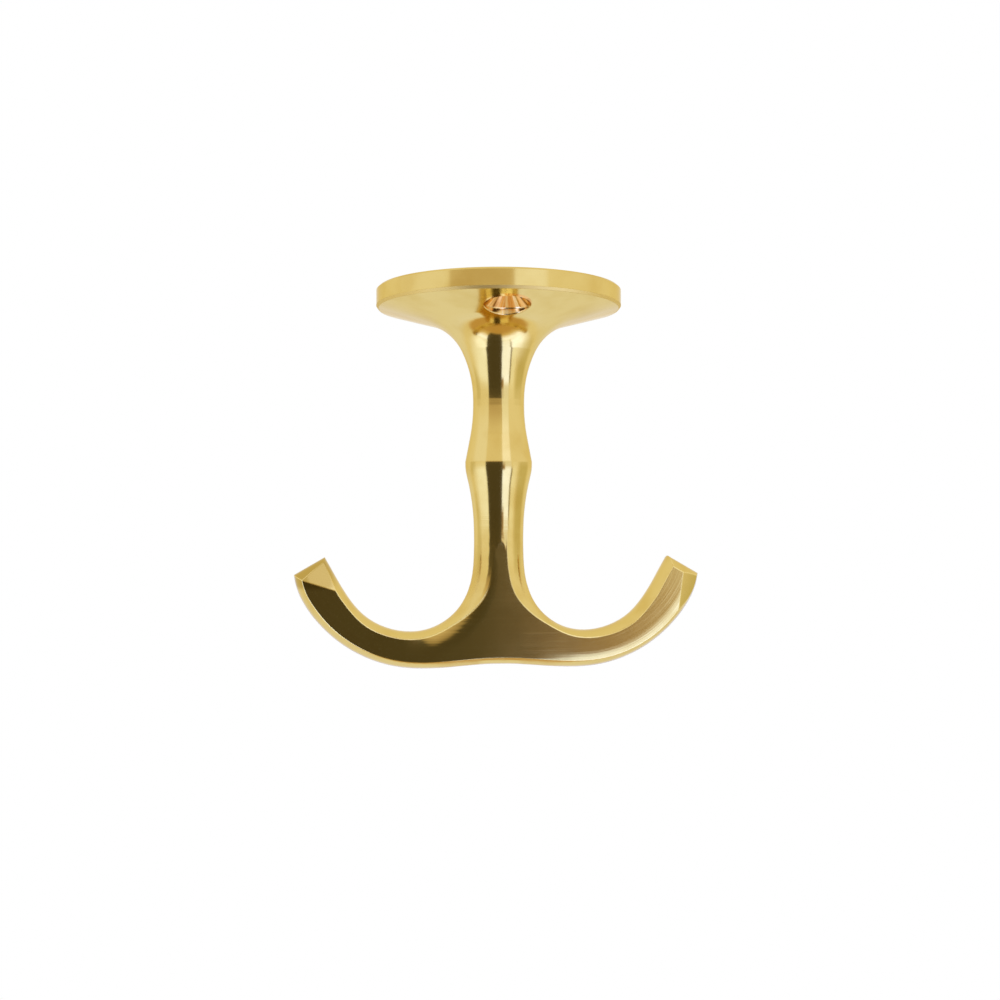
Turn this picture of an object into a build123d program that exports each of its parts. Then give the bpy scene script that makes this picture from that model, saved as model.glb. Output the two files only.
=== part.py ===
from build123d import *
from math import asin, cos, degrees, hypot, pi, radians, sin, sqrt, tan, atan2
import os

# Anchor hook for a ceiling or the underside of a shelf, cast in brass as one piece.
# Millimetres. The origin is the middle of the face that lies against the ceiling,
# +Z points up through it, and the two arms reach out along X.

# Flange
flange_radius = 19.5
rim_height = 3.0
rim_edge_bevel = 0.3
underside_angle = 15.3
flare_start_radius = 11.3
flare_radius = 8.5
flare_handover_angle = 25.7

# Upper stem, from its waist to the ring
waist_radius = 4.1
waist_length = 1.0
swell_bend_radius = 25.0
swell_angle = 10.9
ring_radius = 5.35

# Ring, shoulder and neck below the crease
ring_round = 8.0
ring_rise_angle = 2.0
shoulder_angle = 14.3
neck_radius = 4.0
neck_length = 4.52
neck_seam_angle = 1.0
neck_seam_depth = 0.02

# Throats between the neck and the arms
throat_entry_radius = 16.5
throat_entry_turn = 19.0
throat_radius = 9.6
arm_bend_radius = 11.7
arm_lift_angle = 60.0
arm_straight = 7.0

# Outside of the arms
arm_thickness = 5.85
lobe_offset = 12.4
bottom_rise = 0.6
outer_bend_radius = 21.5
tip_bend_radius = 10.5

# Faces and crowned sides
face_set_in = 0.15
face_top_drop = 3.6
face_runout_radius = 15.0
face_runout_turn = 30.0
inner_crown = 0.75
outer_crown = 1.4
tip_crown = 1.3
crown_fade_turn = 60.0
tip_facet_length = 4.1
tip_facet_depth = 1.1
heel_facet_length = 4.6
heel_facet_width = 1.9
heel_facet_depth = 0.9

# Screw holes
screw_hole_spacing = 28.0
screw_hole_radius = 1.75
countersink_radius = 3.55
countersink_angle = 90.0


def heading(angle):
    """Unit vector in the XZ plane at this many degrees from +X towards +Z."""
    return (cos(radians(angle)), sin(radians(angle)))


# Underside of the flange, where the cone hands over to the flare
cone_slope = tan(radians(underside_angle))
flare_start_z = -rim_height - (flange_radius - flare_start_radius) * cone_slope


def turned_profile():
    """Half section of everything that is turned: flange, stem, ring and neck."""
    first_turn = 90 - underside_angle - flare_handover_angle
    with BuildSketch(Plane.XZ) as sketch:
        with BuildLine():
            Polyline((0, 0), (flange_radius, 0), (flange_radius, -rim_height))
            cone = Line((flange_radius, -rim_height), (flare_start_radius, flare_start_z))
            flare = JernArc(cone @ 1, cone % 1, flare_radius, first_turn)
            drop = (flare @ 1).X - waist_radius
            long_radius = drop / (1 - cos(radians(flare_handover_angle)))
            lower = JernArc(flare @ 1, flare % 1, long_radius, flare_handover_angle)
            waist = Line(lower @ 1, (lower @ 1) + Vector(0, -waist_length))
            swell = JernArc(waist @ 1, (0, -1), swell_bend_radius, swell_angle)
            reach = (ring_radius - (swell @ 1).X) / sin(radians(swell_angle))
            cone_end = (swell @ 1) + reach * Vector(*heading(swell_angle - 90))
            stem = Line(swell @ 1, cone_end)
            ring = JernArc(
                stem @ 1, heading(ring_rise_angle - 90), ring_round, -ring_rise_angle - shoulder_angle
            )
            narrowing = (ring @ 1).X - neck_radius + neck_seam_depth
            span = cos(radians(neck_seam_angle)) - cos(radians(shoulder_angle))
            shoulder = JernArc(ring @ 1, ring % 1, narrowing / span, shoulder_angle - neck_seam_angle)
            seam = Line(shoulder @ 1, (shoulder @ 1) + neck_length * (shoulder % 1))
            Polyline(seam @ 1, (0, (seam @ 1).Y), (0, 0))
        make_face()
        chamfer(sketch.vertices().group_by(Axis.X)[-1], rim_edge_bevel)
    return sketch.sketch, (shoulder @ 1).Y, (stem @ 1).Y


profile, neck_top, ring_z = turned_profile()
turned = revolve(profile, axis=Axis.Z)

face_half_depth = neck_radius - face_set_in


class Path:
    """Stations along a planar chain of tangent arcs: x, z and heading in degrees."""

    def __init__(self, x, z, angle):
        self.stations = [(x, z, angle)]

    def straight(self, length, steps=1):
        for _ in range(steps):
            x, z, angle = self.stations[-1]
            dx, dz = heading(angle)
            step = length / steps
            self.stations.append((x + dx * step, z + dz * step, angle))
        return self

    def arc(self, radius, turn, steps):
        """Arc to the left for a positive turn and to the right for a negative one."""
        side = 1 if turn > 0 else -1
        for _ in range(steps):
            x, z, angle = self.stations[-1]
            new = angle + turn / steps
            left_old, left_new = heading(angle + 90), heading(new + 90)
            cx = x + side * radius * left_old[0]
            cz = z + side * radius * left_old[1]
            self.stations.append(
                (cx - side * radius * left_new[0], cz - side * radius * left_new[1], new)
            )
        return self


def inner_path():
    """From the neck down, round the throat and up the inside of the right arm."""
    path = Path(neck_radius, neck_top + neck_length, -90)
    path.straight(neck_length * 2)
    path.arc(throat_entry_radius, throat_entry_turn, 2)
    path.arc(throat_radius, 90 - throat_entry_turn, 4)
    path.arc(arm_bend_radius, arm_lift_angle, 3)
    path.straight(arm_straight)
    return path.stations


inner = inner_path()
trough = min(inner, key=lambda station: station[1])
lobe_z = trough[1] - arm_thickness
wave_radius = ((lobe_offset / 2) ** 2 + (bottom_rise / 2) ** 2) / bottom_rise
wave_turn = degrees(2 * atan2(bottom_rise, lobe_offset))
arm_end = inner[-1]


def outer_path(inset, end_inset):
    """From the middle of the bottom out to the tip, drawn inside the outline by inset."""
    path = Path(0, lobe_z + bottom_rise, 0)
    path.arc(wave_radius, -wave_turn, 2)
    path.arc(wave_radius, wave_turn, 2)
    path.arc(outer_bend_radius, arm_lift_angle, 5)
    x, z, angle = path.stations[-1]
    left = heading(angle + 90)
    cx, cz = x + tip_bend_radius * left[0], z + tip_bend_radius * left[1]
    moved = [
        (px + inset * heading(a + 90)[0], pz + inset * heading(a + 90)[1])
        for px, pz, a in path.stations
    ]
    # the last arc stops where it meets the end of the arm
    along, across = heading(arm_lift_angle), heading(arm_lift_angle - 90)
    ox = arm_end[0] - end_inset * along[0] - cx
    oz = arm_end[1] - end_inset * along[1] - cz
    half = ox * across[0] + oz * across[1]
    radius = tip_bend_radius - inset
    run = -half + sqrt(half**2 - (ox**2 + oz**2 - radius**2))
    corner = (ox + run * across[0], oz + run * across[1])
    last = degrees(atan2(corner[1], corner[0]))
    first = arm_lift_angle - 90
    for share in (0.5, 1.0):
        a = first + share * (last - first)
        moved.append((cx + radius * heading(a)[0], cz + radius * heading(a)[1]))
    return moved


def section_outline(y):
    """Outline of the lower body on the plane at this y, as points in X and Z."""
    share = (y / face_half_depth) ** 2
    neck_inset = neck_radius - sqrt(neck_radius**2 - y**2)
    side, end_inset = inner_crown * share, tip_crown * share
    inside = []
    for x, z, angle in inner:
        turn = angle + 90
        fade = 0.5 * (1 + cos(pi * turn / crown_fade_turn)) if turn < crown_fade_turn else 0
        inset = side + (neck_inset - side) * fade
        out = heading(angle + 90)
        inside.append((x - inset * out[0], z - inset * out[1]))
    along = heading(arm_lift_angle)
    inside[-1] = (inside[-1][0] - end_inset * along[0], inside[-1][1] - end_inset * along[1])
    return inside, outer_path(outer_crown * share, end_inset)


def shares(points):
    """Distance along the points, as the parameter that every section has in common."""
    total = [0.0]
    for a, b in zip(points, points[1:]):
        total.append(total[-1] + hypot(b[0] - a[0], b[1] - a[1]))
    return total


middle_inside, middle_outside = section_outline(0)
inside_knots = shares(middle_inside)
outside_knots = shares([(-x, z) for x, z in reversed(middle_outside[1:])] + middle_outside)


def section_wire(y):
    """Closed wire of one section: neck, right throat, tip, bottom, tip and left throat."""
    inside, outside = section_outline(y)

    def place(point, side=1):
        return Vector(side * point[0], y, point[1])

    rise = heading(arm_lift_angle)
    down, up = Vector(0, 0, -1), Vector(rise[0], 0, rise[1])
    mirrored_up = Vector(-rise[0], 0, rise[1])
    right = Edge.make_spline([place(p) for p in inside], tangents=[down, up], parameters=inside_knots)
    left = Edge.make_spline(
        [place(p, -1) for p in inside], tangents=[down, mirrored_up], parameters=inside_knots
    )
    bottom = Edge.make_spline(
        [place(p, -1) for p in reversed(outside[1:])] + [place(p) for p in outside],
        parameters=outside_knots,
    )
    return Wire(
        [
            Edge.make_line(place(inside[0], -1), place(inside[0])),
            right,
            Edge.make_line(place(inside[-1]), place(outside[-1])),
            bottom,
            Edge.make_line(place(outside[-1], -1), place(inside[-1], -1)),
            left,
        ]
    )


# The outline is drawn on planes at equal angles round the neck, so that its sides stay round
last_level = degrees(asin(face_half_depth / neck_radius))
levels = [neck_radius * sin(radians(last_level * step / 3)) for step in range(-3, 4)]


def face_cutter():
    """What is beyond the flat front face, which runs out upwards into the round neck."""
    low = lobe_z - arm_thickness
    with BuildSketch(Plane.YZ) as sketch:
        with BuildLine():
            face = Line((face_half_depth, low), (face_half_depth, neck_top - face_top_drop))
            runout = JernArc(face @ 1, (0, 1), face_runout_radius, -face_runout_turn)
            far = (runout @ 1) + Vector(neck_radius, 0)
            Polyline(runout @ 1, far, (far.X, low), face @ 0)
        make_face()
    return extrude(sketch.sketch, amount=2 * arm_end[0], both=True)


def half_space(first, second, third):
    """Everything in front of the plane through three points near a tip, on the side of +Y."""
    normal = (second - first).cross(third - first)
    if normal.Y < 0:
        normal = -normal
    cut = Plane((first + second + third) / 3, x_dir=second - first, z_dir=normal)
    size = 2 * arm_thickness
    return cut * Box(size, size, arm_thickness, align=(Align.CENTER, Align.CENTER, Align.MIN))


def tip_corners():
    """Inner corner and heel of the right tip on the front face, and the way along the arm."""
    inside, outside = section_outline(face_half_depth)
    corner = Vector(inside[-1][0], face_half_depth, inside[-1][1])
    heel = Vector(outside[-1][0], face_half_depth, outside[-1][1])
    along = Vector(heading(arm_lift_angle)[0], 0, heading(arm_lift_angle)[1])
    return corner, heel, along


def tip_facet():
    """Cutter of the facet that slopes from the heel over to the inner corner of a tip."""
    corner, heel, along = tip_corners()
    return half_space(heel, corner - tip_facet_length * along, corner - Vector(0, tip_facet_depth, 0))


def heel_facet():
    """Cutter of the narrow facet that takes the heel off a tip."""
    corner, heel, along = tip_corners()
    inwards = (corner - heel).normalized()
    return half_space(
        heel + heel_facet_width * inwards,
        heel - heel_facet_length * along,
        heel - Vector(0, heel_facet_depth, 0),
    )


def screw_hole():
    """A countersunk hole on the Z axis, open to the flare that its tool cuts into."""
    mouth_z = -rim_height - (flange_radius - screw_hole_spacing / 2) * cone_slope
    cone_depth = (countersink_radius - screw_hole_radius) / tan(radians(countersink_angle / 2))
    with BuildSketch(Plane.XZ) as sketch:
        with BuildLine():
            Polyline(
                (0, rim_height),
                (screw_hole_radius, rim_height),
                (screw_hole_radius, mouth_z + cone_depth),
                (countersink_radius, mouth_z),
                (countersink_radius, neck_top),
                (0, neck_top),
                close=True,
            )
        make_face()
    return revolve(sketch.sketch, axis=Axis.Z)


arms = Solid.make_loft([section_wire(y) for y in levels])
body = turned + arms
front = face_cutter()
body = body - front - mirror(front, Plane.XZ)
for facet in (mirror(tip_facet(), Plane.YZ), heel_facet()):
    body = body - facet - mirror(facet, Plane.XZ)
hole = screw_hole()
for side in (-1, 1):
    body = body - Pos(0, side * screw_hole_spacing / 2, 0) * hole

os.makedirs("parts", exist_ok=True)
export_step(body, "parts/anchor_hook.step")
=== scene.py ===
from math import cos, degrees, radians, sin, tan

import bpy
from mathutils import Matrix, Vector


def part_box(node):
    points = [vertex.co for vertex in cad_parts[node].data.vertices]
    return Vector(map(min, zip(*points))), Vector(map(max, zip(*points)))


bl_info = {
    "name": "Anchor hook dressing",
    "version": (1, 0, 0),
    "blender": (4, 5, 0),
    "location": "3D View > Sidebar > Anchor hook",
    "description": "Polished brass for a ceiling anchor hook, with a white studio to show it in",
    "category": "Material",
}

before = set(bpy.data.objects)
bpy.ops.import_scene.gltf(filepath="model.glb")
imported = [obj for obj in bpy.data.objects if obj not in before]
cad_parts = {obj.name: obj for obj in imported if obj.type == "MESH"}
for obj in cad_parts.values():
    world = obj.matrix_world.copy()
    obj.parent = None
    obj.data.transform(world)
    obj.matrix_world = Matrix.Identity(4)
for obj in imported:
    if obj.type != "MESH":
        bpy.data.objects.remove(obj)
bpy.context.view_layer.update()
HOOK_LOW, HOOK_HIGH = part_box("anchor_hook")
HOOK_MIDDLE = (HOOK_LOW[2] + HOOK_HIGH[2]) / 2

# Places on the casting, in metres from the middle of the ceiling face. Pairs are in X and Z.
HOLE_OFFSET = 0.014
THROAT_CENTRE = (-0.01398, -0.04486)
THROAT_RADIUS = 0.0096
BEND_CENTRE = (0.0124, HOOK_LOW[2] + 0.0215)
CROWN_START = 0.0186

# The studio, in metres, with what it shows in mirrors as linear colours
FLOOR_SIZE = 12.0
FLOOR_HEIGHT = -1.8
LOW_CARD_SIZE = 1.8
LOW_CARD_HEIGHT = -1.2
WHITE = (1, 1, 1, 1)
DARK = (0.09, 0.078, 0.05)


class Value:
    """A number or colour that varies over the surface, with Python's operators as Math nodes."""

    def __init__(self, tree, socket):
        self.tree = tree
        self.socket = socket

    def node(self, kind, settings=None, inputs=None, output=0):
        """Add a node: its settings first, then the values or links of its sockets."""
        made = self.tree.nodes.new(kind)
        for name, value in (settings or {}).items():
            if name == "stops":
                set_stops(made.color_ramp, value)
            else:
                setattr(made, name, value)
        for name, value in (inputs or {}).items():
            if isinstance(value, Value):
                self.tree.links.new(value.socket, made.inputs[name])
            else:
                made.inputs[name].default_value = value
        return Value(self.tree, made.outputs[output])

    def math(self, operation, *values):
        return self.node("ShaderNodeMath", {"operation": operation}, dict(enumerate(values)))

    def __add__(self, other):
        return self.math("ADD", self, other)

    def __radd__(self, other):
        return self.math("ADD", other, self)

    def __sub__(self, other):
        return self.math("SUBTRACT", self, other)

    def __rsub__(self, other):
        return self.math("SUBTRACT", other, self)

    def __mul__(self, other):
        return self.math("MULTIPLY", self, other)

    def __rmul__(self, other):
        return self.math("MULTIPLY", other, self)

    def __abs__(self):
        return self.math("ABSOLUTE", self)

    def at_least(self, limit):
        return self.math("MAXIMUM", self, limit)

    def axes(self):
        """The X, Y and Z of a vector."""
        split = self.node("ShaderNodeSeparateXYZ", {}, {0: self}).socket.node
        return [Value(self.tree, output) for output in split.outputs]

    def ramp(self, *stops):
        return self.node("ShaderNodeValToRGB", {"stops": stops}, {0: self})

    def between(self, low, high, to_low, to_high):
        """Go from one value to another between two limits, smooth at both ends."""
        return self.node(
            "ShaderNodeMapRange",
            {"interpolation_type": "SMOOTHSTEP"},
            {0: self, 1: low, 2: high, 3: to_low, 4: to_high},
        )

    def past(self, low, high):
        """0 before the first limit and 1 past the second."""
        return self.between(low, high, 0.0, 1.0)

    def before(self, low, high):
        """1 before the first limit and 0 past the second."""
        return self.between(low, high, 1.0, 0.0)


def set_stops(ramp, stops):
    """Give a colour ramp its stops, as pairs of a position and a grey level or a colour."""
    while len(ramp.elements) > 1:
        ramp.elements.remove(ramp.elements[-1])
    for index, (position, tone) in enumerate(stops):
        element = ramp.elements[0] if index == 0 else ramp.elements.new(position)
        element.position = position
        element.color = (*(tone if isinstance(tone, tuple) else (tone,) * 3), 1.0)


def length(across, along):
    """Distance from the origin of a point given by two coordinates."""
    return across.math("SQRT", across * across + along * along)


def mixed(share, first, second):
    """Colour between two others."""
    return share.node(
        "ShaderNodeMix",
        {"data_type": "RGBA"},
        {0: share, 6: colour_input(first), 7: colour_input(second)},
        output=2,
    )


def colour_input(colour):
    return colour if isinstance(colour, Value) else (*colour, 1.0)


def noise(place, scale, detail):
    """Noise at a place, with a scale for each axis in waves to a metre."""
    stretched = place.node("ShaderNodeMapping", {}, {"Vector": place, "Scale": scale})
    return place.node(
        "ShaderNodeTexNoise", {}, {"Vector": stretched, "Detail": detail, "Scale": 1.0}
    )


def new_material(name):
    material = bpy.data.materials.new(name)
    material.use_nodes = True
    tree = material.node_tree
    tree.nodes.clear()
    return material, tree


def coordinates(tree, kind):
    return Value(tree, tree.nodes.new("ShaderNodeTexCoord").outputs[kind])


def show(shader):
    """Make a shader the surface of its material."""
    out = shader.tree.nodes.new("ShaderNodeOutputMaterial")
    shader.tree.links.new(shader.socket, out.inputs["Surface"])


class AnchorHookFinish(bpy.types.PropertyGroup):
    """Colours and depths of the polished brass."""

    brass_colour: bpy.props.FloatVectorProperty(
        name="Brass", description="Colour of the freshly polished brass",
        subtype="COLOR", size=3, min=0, max=1, default=(0.74, 0.55, 0.18),
    )
    deep_colour: bpy.props.FloatVectorProperty(
        name="Toned brass", description="Colour where the brass has darkened a little",
        subtype="COLOR", size=3, min=0, max=1, default=(0.68, 0.48, 0.135),
    )
    tip_colour: bpy.props.FloatVectorProperty(
        name="Toned tip", description="Colour of the left arm's tip, which has darkened the most",
        subtype="COLOR", size=3, min=0, max=1, default=(0.5, 0.33, 0.075),
    )
    # Painted highlight: this pale colour on the sharp edges stands in for the light their rounding
    # catches. The brush scratches on the faces take it too.
    edge_highlight_and_scratch_colour: bpy.props.FloatVectorProperty(
        name="Worn edge", description="Colour of the sharp edges, which handling has kept bright",
        subtype="COLOR", size=3, min=0, max=1, default=(0.96, 0.77, 0.32),
    )
    # Painted reflection in the screw holes: an orange glow between dark streaks and bright glints, round
    # the cone of each countersink
    hole_glow_colour: bpy.props.FloatVectorProperty(
        name="Countersink", description="Colour of the bare machined brass in the screw holes",
        subtype="COLOR", size=3, min=0, max=1, default=(0.84, 0.47, 0.15),
    )
    hole_dark_streak_colour: bpy.props.FloatVectorProperty(
        name="Countersink streaks", description="Colour of the dark streaks round the countersinks",
        subtype="COLOR", size=3, min=0, max=1, default=(0.36, 0.15, 0.02),
    )
    hole_glint_colour: bpy.props.FloatVectorProperty(
        name="Countersink glints", description="Colour of the bright streaks round the countersinks",
        subtype="COLOR", size=3, min=0, max=1, default=(1.0, 0.86, 0.62),
    )
    roughness: bpy.props.FloatProperty(
        name="Roughness", description="Roughness of the polished surface",
        subtype="FACTOR", min=0, max=1, default=0.12,
    )
    bevel_dulling: bpy.props.FloatProperty(
        name="Bevel dulling", description="Roughness added on the bevel under the flange's rim",
        subtype="FACTOR", min=0, max=1, default=0.3,
    )
    throat_dulling: bpy.props.FloatProperty(
        name="Throat dulling", description="Roughness added in the throats, which a mop hardly reaches",
        subtype="FACTOR", min=0, max=1, default=0.14,
    )
    edge_round: bpy.props.FloatProperty(
        name="Edge round", description="Radius to which polishing has rounded the sharp edges",
        subtype="DISTANCE", unit="LENGTH", min=0, default=0.0003,
    )
    turning_depth: bpy.props.FloatProperty(
        name="Turning marks", description="Depth of the fine rings left on the turned parts",
        subtype="DISTANCE", unit="LENGTH", min=0, default=8.0e-6,
    )
    brush_depth: bpy.props.FloatProperty(
        name="Brush marks", description="Depth of the fine lines along the flat faces",
        subtype="DISTANCE", unit="LENGTH", min=0, default=5.0e-6,
    )
    wave_depth: bpy.props.FloatProperty(
        name="Waviness", description="Depth of the shallow waves that hand polishing leaves",
        subtype="DISTANCE", unit="LENGTH", min=0, default=1.0e-5,
    )
    crown_width: bpy.props.FloatProperty(
        name="Crown width", description="Width rounded over along the outer edges of the arms' faces",
        subtype="DISTANCE", unit="LENGTH", min=0.0001, default=0.0019,
    )
    crown_slope: bpy.props.FloatProperty(
        name="Crown slope", description="Steepness of that rounding at the edge itself",
        min=0, default=0.095,
    )
    crease_width: bpy.props.FloatProperty(
        name="Soft crease width", description="Width rounded over beside the left throat's crease",
        subtype="DISTANCE", unit="LENGTH", min=0.0001, default=0.004,
    )
    crease_slope: bpy.props.FloatProperty(
        name="Soft crease slope", description="Steepness of that rounding at the crease itself",
        min=0, default=0.23,
    )


class AnchorHookStudio(bpy.types.PropertyGroup):
    """Camera and ground of the white studio."""

    camera_distance: bpy.props.FloatProperty(
        name="Camera distance", description="From the hook's axis to the camera",
        subtype="DISTANCE", unit="LENGTH", min=0.05, default=0.18525,
    )
    camera_turn: bpy.props.FloatProperty(
        name="Camera turn", description="How far the camera stands to the left of square on",
        subtype="ANGLE", unit="ROTATION", default=radians(5.5),
    )
    camera_height: bpy.props.FloatProperty(
        name="Camera height", description="Height of the camera, measured from the ceiling face",
        subtype="DISTANCE", unit="LENGTH", default=-0.03352,
    )
    camera_lens: bpy.props.FloatProperty(
        name="Lens", description="Focal length on a sensor 36 mm wide", min=10, default=41.62,
    )
    camera_shift: bpy.props.FloatProperty(
        name="Shift", description="Sideways shift of the picture, as a share of its width",
        default=0.0014,
    )
    ground_colour: bpy.props.FloatVectorProperty(
        name="Ground", description="Colour of the floor",
        subtype="COLOR", size=3, min=0, max=1, default=(0.82, 0.82, 0.82),
    )


class Casting:
    """Coordinates on the hook, and masks that are 1 on one part of it and 0 elsewhere."""

    def __init__(self, at):
        self.at = at
        self.x, self.y, self.z = at.axes()
        self.aside, self.depth = abs(self.x), abs(self.y)
        self.stem = self.z.past(-0.0455, -0.0415)
        self.lower_body = self.z.before(-0.046, -0.042)
        self.face = self.depth.past(0.00378, 0.00384) * self.z.before(-0.0425, -0.0405)
        self.left_tip = self.x.before(-0.0268, -0.0252) * self.z.past(-0.0478, -0.0468)
        self.flange = self.z.past(-0.0042, -0.0038)
        self.rim_bevel = (
            length(self.x, self.y).past(0.0190, 0.0192)
            * self.z.past(-0.0034, -0.0031) * self.z.before(-0.0027, -0.0026)
        )
        self.throats = (
            self.aside.past(0.0025, 0.0038) * self.z.before(-0.042, -0.038)
            * self.depth.before(0.0036, 0.0038) * self.aside.before(0.007, 0.012)
        )

        self.hole_y = self.depth - HOLE_OFFSET
        self.hole = (
            length(self.x, self.hole_y).before(0.0034, 0.0037)
            * self.z.past(-0.0065, -0.0055) * self.z.before(-0.0003, -0.0001)
        )

        # Lanes run level along the middle of the arms and round with their outer bends
        self.lane = length(
            (self.aside - BEND_CENTRE[0]).at_least(0.0), self.z - BEND_CENTRE[1]
        )
        self.lanes = at.node("ShaderNodeCombineXYZ", {}, {0: self.x, 1: self.z, 2: self.lane})


def countersink_painted_reflection(casting, finish):
    """Painted reflection in a countersink: an orange glow with dark and bright streaks that run up its
    cone.
    """
    turn = casting.x.math("ARCTAN2", casting.x, casting.hole_y)
    spread = turn.node(
        "ShaderNodeCombineXYZ", {}, {0: turn.math("SINE", turn), 1: casting.hole_y * 60.0}
    )
    return noise(spread, (2.6, 2.6, 1), 2.0).ramp(
        (0.34, finish.hole_dark_streak_colour[:]), (0.46, finish.hole_glow_colour[:]),
        (0.56, finish.hole_glow_colour[:]), (0.66, finish.hole_glint_colour[:]),
    )


def toned_colour(casting, finish, cloud):
    """Brass toned in clouds, on the rim's bevel and on the left tip, with a painted reflection in the
    holes.
    """
    toned = finish.deep_colour[:]
    colour = mixed(cloud.past(0.4, 0.75), finish.brass_colour[:], toned)
    # Painted reflection in the countersinks
    colour = mixed(casting.hole, colour, countersink_painted_reflection(casting, finish))
    colour = mixed(casting.rim_bevel, colour, toned)
    return mixed(casting.left_tip * 0.95, colour, finish.tip_colour[:])


def tool_marks(casting, finish, brushed):
    """Height of the turning rings, brush marks and polishing waves, in metres."""
    rings = noise(casting.at, (60, 60, 3500), 2.0)
    rings = rings * casting.stem * casting.z.between(-0.031, -0.027, 1.0, 0.2)
    waves = noise(casting.at, (260, 260, 260), 1.0)
    height = rings * finish.turning_depth + brushed * casting.face * finish.brush_depth
    return height + waves * finish.wave_depth


def outer_crown(casting, finish):
    """Drop of the arms' faces towards their outer edges, in metres."""
    past = (casting.lane - CROWN_START).at_least(0.0)
    drop = past * past * (finish.crown_slope / (2 * finish.crown_width))
    return drop * casting.aside.past(0.004, 0.014) * casting.z.before(-0.041, -0.038)


def soft_crease(casting, finish):
    """Drop of the face towards the crease beside the left throat, in metres."""
    away = length(casting.x - THROAT_CENTRE[0], casting.z - THROAT_CENTRE[1])
    inside = (THROAT_RADIUS + finish.crease_width - away).at_least(0.0)
    drop = inside * inside * (finish.crease_slope / (2 * finish.crease_width))
    place = casting.face * casting.x.past(-0.0155, -0.0095) * casting.z.before(-0.043, -0.041)
    return drop * place


class ANCHORHOOK_OT_brass(bpy.types.Operator):
    """Give the cast hook its polished and lacquered brass"""

    bl_idname = "anchorhook.brass"
    bl_label = "Polished brass"

    def execute(self, context):
        finish = context.scene.anchor_hook_finish
        material, tree = new_material("polished_brass")
        at = coordinates(tree, "Object")
        casting = Casting(at)
        cloud = noise(at, (180, 180, 180), 3.0)
        brushed = noise(casting.lanes, (70, 70, 4200), 3.0)

        rounded = at.node("ShaderNodeBevel", {"samples": 8}, {"Radius": finish.edge_round})
        plain = at.node("ShaderNodeNewGeometry", output="Normal")
        level = at.node(
            "ShaderNodeVectorMath", {"operation": "DOT_PRODUCT"}, {0: rounded, 1: plain},
            output="Value",
        )
        # Painted highlight: pale colour along the lower body's sharp edges, where the rounded edge
        # normal turns away from the surface's own
        painted_edge_highlight = level.before(0.9, 0.997) * casting.lower_body
        scratches = brushed.past(0.5, 0.72) * casting.face
        scratches = scratches * casting.x.between(-0.012, 0.01, 0.1, 0.35)
        colour = toned_colour(casting, finish, cloud)
        colour = mixed(painted_edge_highlight, colour, finish.edge_highlight_and_scratch_colour[:])
        # Light brush scratches on the faces, in the same pale colour
        colour = mixed(scratches, colour, finish.edge_highlight_and_scratch_colour[:])

        edges = at.node(
            "ShaderNodeMix", {"data_type": "VECTOR"}, {0: casting.flange, 4: rounded, 5: plain},
            output=1,
        )
        height = tool_marks(casting, finish, brushed)
        height = height - outer_crown(casting, finish) - soft_crease(casting, finish)
        normal = at.node(
            "ShaderNodeBump", {}, {"Strength": 1.0, "Distance": 1.0, "Height": height, "Normal": edges}
        )

        rough = finish.roughness * cloud.between(0.2, 0.8, 0.85, 1.15)
        rough = rough * (1.0 + casting.face * casting.x.between(-0.006, 0.002, -0.3, 0.1))
        rough = rough + casting.rim_bevel * finish.bevel_dulling
        rough = rough + casting.throats * finish.throat_dulling
        show(at.node(
            "ShaderNodeBsdfPrincipled",
            {},
            {
                "Base Color": colour, "Metallic": 1.0, "Roughness": rough, "Normal": normal,
                "Specular Tint": (0.86, 0.76, 0.52, 1.0),
            },
        ))
        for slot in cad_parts["anchor_hook"].material_slots:
            slot.material = material
        return {"FINISHED"}


def aim(item, place, target):
    """Stand a card or the camera at a place, looking at a target with its top upwards."""
    item.location = place
    item.rotation_euler = (Vector(target) - Vector(place)).to_track_quat("-Z", "Y").to_euler()


def azimuth_stops(limits, stops):
    """Turn stops at azimuths, in degrees, into stops across an upright card."""
    middle, half = sum(limits) / 2, (limits[1] - limits[0]) / 2
    return tuple(
        (0.5 + 0.5 * tan(radians(angle - middle)) / tan(radians(half)), tone) for angle, tone in stops
    )


def elevation_stops(limits, stops):
    """Turn stops at elevations, in degrees, into stops up an upright card."""
    low, high = (tan(radians(limit)) for limit in limits)
    return tuple(((tan(radians(angle)) - low) / (high - low), tone) for angle, tone in stops)


def new_plane(name, size, place):
    bpy.ops.object.select_all(action="DESELECT")
    bpy.ops.mesh.primitive_plane_add(size=size, location=place)
    plane = bpy.context.active_object
    plane.name = name
    material, tree = new_material(name)
    plane.data.materials.append(material)
    return plane, tree


def show_in_mirrors(card, cover, tone):
    """Let a card glow in its tone where its cover is 1, for reflections only."""
    clear = cover.node("ShaderNodeBsdfTransparent", {}, {"Color": WHITE})
    glow = cover.node("ShaderNodeEmission", {}, {"Color": tone, "Strength": 1.0})
    show(cover.node("ShaderNodeMixShader", {}, {0: cover, 1: clear, 2: glow}))
    card.visible_camera = False
    card.visible_diffuse = False
    card.visible_shadow = False


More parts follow.
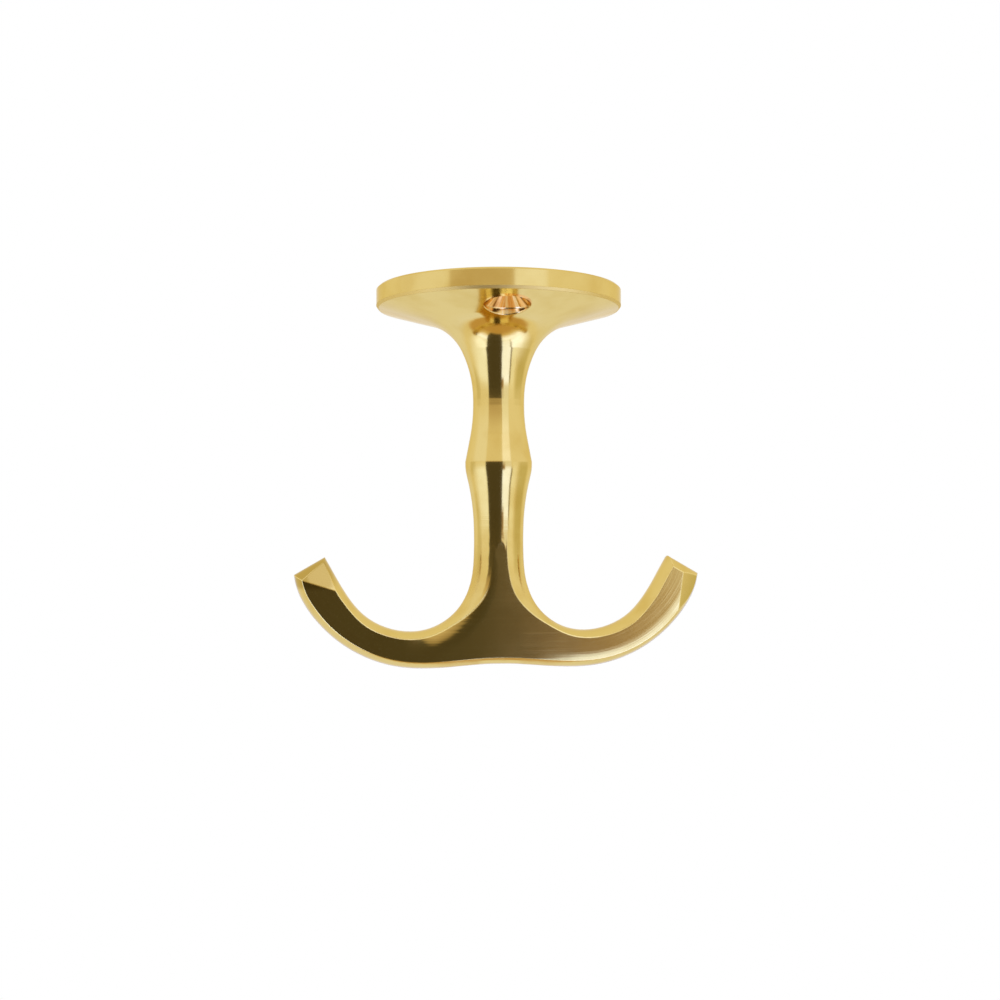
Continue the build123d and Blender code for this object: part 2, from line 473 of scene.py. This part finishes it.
def upright_card(name, distance, azimuths, across, elevations, upwards, shades, sideways=False):
    """An upright card for mirrors that covers the angles, in degrees, between two pairs of limits.

    Its cover is the product of the stops across and upwards. Its shades go up it, or sideways.
    """
    turn = radians(sum(azimuths) / 2)
    width = 2 * distance * tan(radians((azimuths[1] - azimuths[0]) / 2))
    low, high = (distance * tan(radians(elevation)) for elevation in elevations)
    middle = (distance * sin(turn), -distance * cos(turn), HOOK_MIDDLE + (low + high) / 2)
    card, tree = new_plane(name, 1.0, middle)
    card.scale = (width, high - low, 1.0)
    aim(card, middle, (0, 0, middle[2]))
    right, up, _ = coordinates(tree, "UV").axes()
    cover = right.ramp(*azimuth_stops(azimuths, across)) * up.ramp(*elevation_stops(elevations, upwards))
    if sideways:
        tone = right.ramp(*azimuth_stops(azimuths, shades))
    else:
        tone = up.ramp(*elevation_stops(elevations, shades))
    show_in_mirrors(card, cover, tone)


class ANCHORHOOK_OT_studio(bpy.types.Operator):
    """Set up the pale floor, the cards that the brass reflects, and the camera"""

    bl_idname = "anchorhook.studio"
    bl_label = "White studio"

    def execute(self, context):
        scene = context.scene
        studio = scene.anchor_hook_studio
        scene.view_settings.view_transform = "Standard"
        self.add_floor(studio)
        self.add_world(scene)
        self.add_windows()
        self.add_dim_walls()
        self.add_dark_room()
        self.add_low_card()
        self.add_camera(scene, studio)
        return {"FINISHED"}

    def add_floor(self, studio):
        """A pale floor that is plain white to the camera and in mirrors."""
        floor, tree = new_plane("studio_floor", FLOOR_SIZE, (0, 0, FLOOR_HEIGHT))
        bpy.ops.object.transform_apply(location=True, rotation=True, scale=True)
        rays = tree.nodes.new("ShaderNodeLightPath")
        seen, glossy, through = (
            Value(tree, rays.outputs[f"Is {kind} Ray"]) for kind in ("Camera", "Glossy", "Transmission")
        )
        shown = seen.at_least(glossy.at_least(through))
        paper = seen.node("ShaderNodeBsdfDiffuse", {}, {"Color": (*studio.ground_colour, 1.0)})
        white = seen.node("ShaderNodeEmission", {}, {"Color": WHITE, "Strength": 1.0})
        show(seen.node("ShaderNodeMixShader", {}, {0: shown, 1: paper, 2: white}))

    def add_world(self, scene):
        world = bpy.data.worlds.new("white_surround")
        world.use_nodes = True
        scene.world = world
        tree = world.node_tree
        tree.nodes.clear()
        room = tree.nodes.new("ShaderNodeBackground")
        room.inputs["Color"].default_value = WHITE
        room.inputs["Strength"].default_value = 1.0
        out = tree.nodes.new("ShaderNodeOutputWorld")
        tree.links.new(room.outputs["Background"], out.inputs["Surface"])

    def add_windows(self):
        """Bright windows in front on both sides, and what shows through them."""
        upright_card(
            "window", 1.0,
            (7, 41), ((7, 1), (35, 1), (38, 0.8), (41, 0)),
            (-58, 56), ((-58, 0), (-54, 1), (40, 1), (56, 0)),
            (
                (-58, (1.36, 1.66, 3.3)), (-10, (1.36, 1.66, 3.3)), (-4.5, (1.0, 1.06, 1.4)),
                (8, (1.06, 1.14, 1.4)), (16, (1.15, 1.25, 1.7)), (26, (1.3, 1.42, 2.1)),
                (56, (1.3, 1.42, 2.1)),
            ),
        )
        upright_card(
            "window_left", 0.92,
            (-112, -50), ((-112, 0), (-96, 0.5), (-84, 0.9), (-58, 1), (-50, 0.6)),
            (-62, 2), ((-62, 0), (-50, 1), (-10, 1), (2, 0)),
            (
                (-62, (1.5, 1.8, 3.2)), (-44, (1.5, 1.8, 3.2)), (-30, (1.22, 1.4, 2.1)),
                (-10, (1.22, 1.4, 2.1)), (2, (1.04, 1.08, 1.2)),
            ),
        )
        upright_card(
            "sky_left", 0.94,
            (-112, -48), ((-112, 0), (-95, 1), (-56, 1), (-48, 0)),
            (4, 64), ((4, 0), (18, 1), (50, 1), (64, 0)),
            ((4, (1.05, 1.1, 1.3)), (64, (1.05, 1.1, 1.3))),
        )
        upright_card(
            "window_right", 0.94,
            (44, 66), ((44, 0.6), (49, 1), (56, 0.8), (66, 0)),
            (-40, 4), ((-40, 0), (-32, 1), (-8, 1), (4, 0)),
            ((-40, (1.2, 1.36, 1.9)), (4, (1.08, 1.14, 1.3))),
        )
        upright_card(
            "window_low_right", 0.96,
            (43, 112), ((43, 1), (80, 1), (112, 0)),
            (-64, -16), ((-64, 0), (-56, 1), (-42, 1), (-16, 0)),
            ((-64, (1.6, 1.95, 4.2)), (-46, (1.5, 1.85, 3.6)), (-16, (1.1, 1.2, 1.6))),
        )
        upright_card(
            "window_frame", 0.9,
            (39, 45), ((39, 0), (41, 1), (43, 1), (45, 0)),
            (-55, 10), ((-55, 0), (-45, 1), (-12, 1), (-5, 0)),
            ((-55, (0.16, 0.13, 0.07)), (10, (0.16, 0.13, 0.07))),
        )

    def add_dim_walls(self):
        """Dim walls at the sides, which give the stem its darker edges, and a table behind."""
        upright_card(
            "dim_right", 1.1,
            (62, 122), ((62, 0), (78, 1), (108, 1), (122, 0)),
            (-44, 8), ((-44, 0), (-18, 1), (-3, 1), (8, 0)),
            ((-44, (0.74, 0.71, 0.5)), (8, (0.74, 0.71, 0.5))),
        )
        upright_card(
            "dim_left", 1.1,
            (-125, -88), ((-125, 0), (-112, 1), (-98, 1), (-88, 0)),
            (-14, 8), ((-14, 0), (-8, 1), (2, 1), (8, 0)),
            ((-14, (0.82, 0.8, 0.66)), (8, (0.82, 0.8, 0.66))),
        )
        upright_card(
            "table_behind", 1.0,
            (122, 238), ((122, 0), (150, 1), (210, 1), (238, 0)),
            (-60, -2), ((-60, 0), (-50, 1), (-8, 1), (-2, 0)),
            ((-60, (1.0, 1.1, 1.6)), (-2, (1.02, 1.12, 1.6))),
        )

    def add_dark_room(self):
        """The dark room in front, which makes the dark stripe and faces, and its warm side wall."""
        upright_card(
            "dark_room", 0.9,
            (-51.5, 11), ((-51.5, 0), (-49, 1), (0, 1), (5, 0.98), (7.5, 0.94), (9, 0.6), (11, 0)),
            (-64, 32), ((-64, 0), (-60, 1), (26, 1), (32, 0)),
            (
                (-64, DARK), (1.5, DARK), (3.5, (0.42, 0.34, 0.22)), (9, (0.68, 0.58, 0.44)),
                (24, (0.94, 0.9, 0.8)), (32, (1.0, 1.0, 1.0)),
            ),
        )
        upright_card(
            "warm_wall", 0.86,
            (3, 19), ((3, 0), (5, 0.5), (7, 1), (15.5, 1), (19, 0)),
            (-14, 5), ((-14, 0), (-11, 1), (-4.5, 1), (-2.5, 0.3), (2, 0.3), (5, 0)),
            (
                (3, (0.12, 0.1, 0.07)), (7.5, (0.15, 0.12, 0.09)), (9.6, (0.29, 0.21, 0.16)),
                (12, (0.37, 0.27, 0.17)), (15, (0.52, 0.38, 0.2)), (19, (0.8, 0.68, 0.42)),
            ),
            sideways=True,
        )

    def add_low_card(self):
        """A round card low down, warm in the middle and behind, and dark below the dark room."""
        card, tree = new_plane("low_card", LOW_CARD_SIZE, (0, 0, LOW_CARD_HEIGHT))
        right, up, _ = coordinates(tree, "UV").axes()
        right, front = right - 0.5, 0.5 - up
        away = length(right, front) * LOW_CARD_SIZE
        turn = right.math("ARCTAN2", right, front) * degrees(1)
        dark = turn.past(-54, -51) * turn.before(8, 10) * away.past(0.34, 0.4)
        tone = (away * front.between(-0.12, 0.06, 0.45, 1.0)).ramp(
            (0.32, (0.68, 0.46, 0.2)), (0.48, (0.9, 0.76, 0.5)), (0.66, (1.5, 1.8, 3.4)),
        )
        show_in_mirrors(card, away.before(0.7, 0.88), mixed(dark, tone, DARK))

    def add_camera(self, scene, studio):
        lens = bpy.data.cameras.new("camera")
        lens.sensor_fit = "HORIZONTAL"
        lens.sensor_width = 36.0
        lens.lens = studio.camera_lens
        lens.shift_x = studio.camera_shift
        lens.clip_start = 0.01
        lens.clip_end = 20.0
        camera = bpy.data.objects.new("camera", lens)
        scene.collection.objects.link(camera)
        turn = studio.camera_turn
        away = studio.camera_distance
        height = studio.camera_height
        aim(camera, (-away * sin(turn), -away * cos(turn), height), (0, 0, height))
        scene.camera = camera


class ANCHORHOOK_PT_panel(bpy.types.Panel):
    """Sizes and colours of the hook's finish and studio, and the buttons that make them"""

    bl_label = "Anchor hook"
    bl_idname = "ANCHORHOOK_PT_panel"
    bl_space_type = "VIEW_3D"
    bl_region_type = "UI"
    bl_category = "Anchor hook"

    def draw(self, context):
        layout = self.layout
        for group in (context.scene.anchor_hook_finish, context.scene.anchor_hook_studio):
            column = layout.column()
            for name in group.bl_rna.properties.keys():
                if name not in ("rna_type", "name"):
                    column.prop(group, name)
        for operator in OPERATORS:
            layout.operator(operator.bl_idname)


OPERATORS = (ANCHORHOOK_OT_brass, ANCHORHOOK_OT_studio)
CLASSES = (AnchorHookFinish, AnchorHookStudio, *OPERATORS, ANCHORHOOK_PT_panel)


def register():
    for cls in CLASSES:
        bpy.utils.register_class(cls)
    bpy.types.Scene.anchor_hook_finish = bpy.props.PointerProperty(type=AnchorHookFinish)
    bpy.types.Scene.anchor_hook_studio = bpy.props.PointerProperty(type=AnchorHookStudio)


def unregister():
    del bpy.types.Scene.anchor_hook_studio
    del bpy.types.Scene.anchor_hook_finish
    for cls in reversed(CLASSES):
        bpy.utils.unregister_class(cls)


def main():
    register()
    bpy.ops.anchorhook.brass()
    bpy.ops.anchorhook.studio()


if __name__ == "__main__":
    main()
